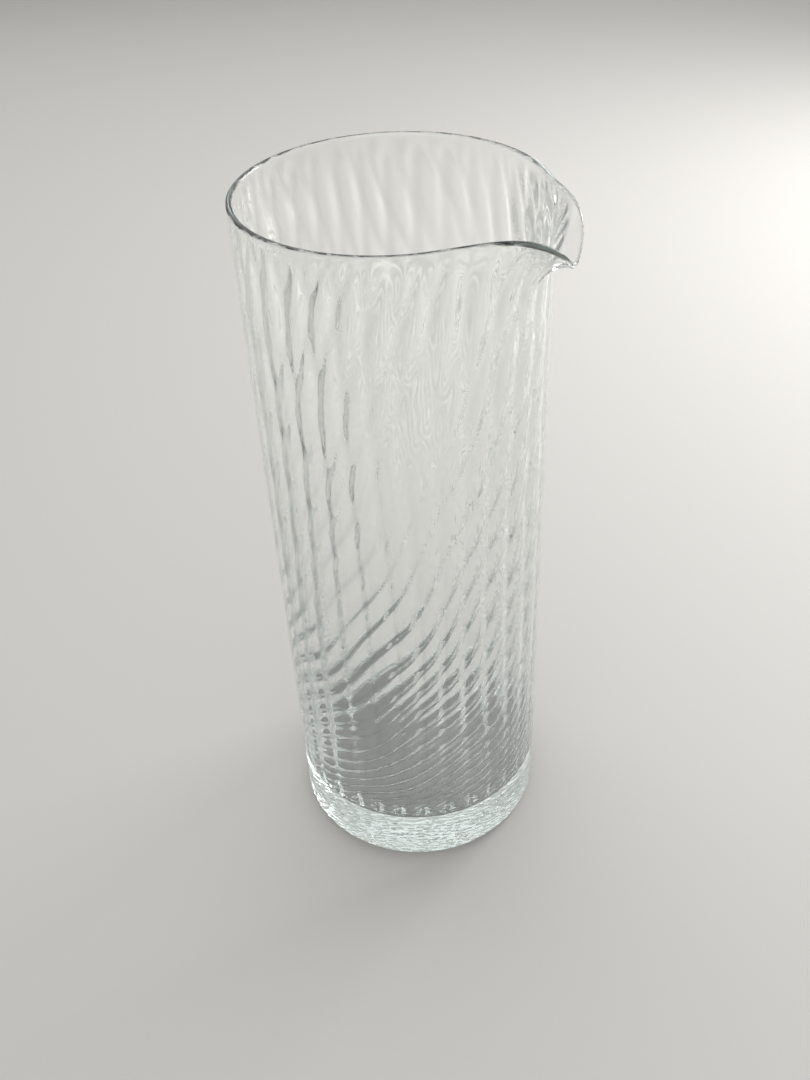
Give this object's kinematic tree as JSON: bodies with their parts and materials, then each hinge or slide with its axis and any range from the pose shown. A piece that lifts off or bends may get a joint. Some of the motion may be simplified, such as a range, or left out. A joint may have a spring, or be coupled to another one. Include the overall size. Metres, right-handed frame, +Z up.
{
  "type": "cocktail pitcher",
  "caption": "Tall straight-sided clear glass cocktail pitcher with a thick base, an optic pattern of crossing ribs inside the wall and a pulled pouring lip.",
  "frame": {"origin": "centre of the foot, in the plane the pitcher stands on", "axes": "+Z up along the axis of the body, +X towards the tip of the pouring lip"},
  "size_m": [0.1005, 0.09, 0.2401],
  "materials": {
    "clear_glass": "fire-polished clear glass with a faint grey-green tint in thick sections"
  },
  "bodies": {
    "root": {"thick_base": "clear_glass", "ribbed_wall": "clear_glass", "rim_collar": "clear_glass", "pouring_lip": "clear_glass"}
  },
  "joints": []
}
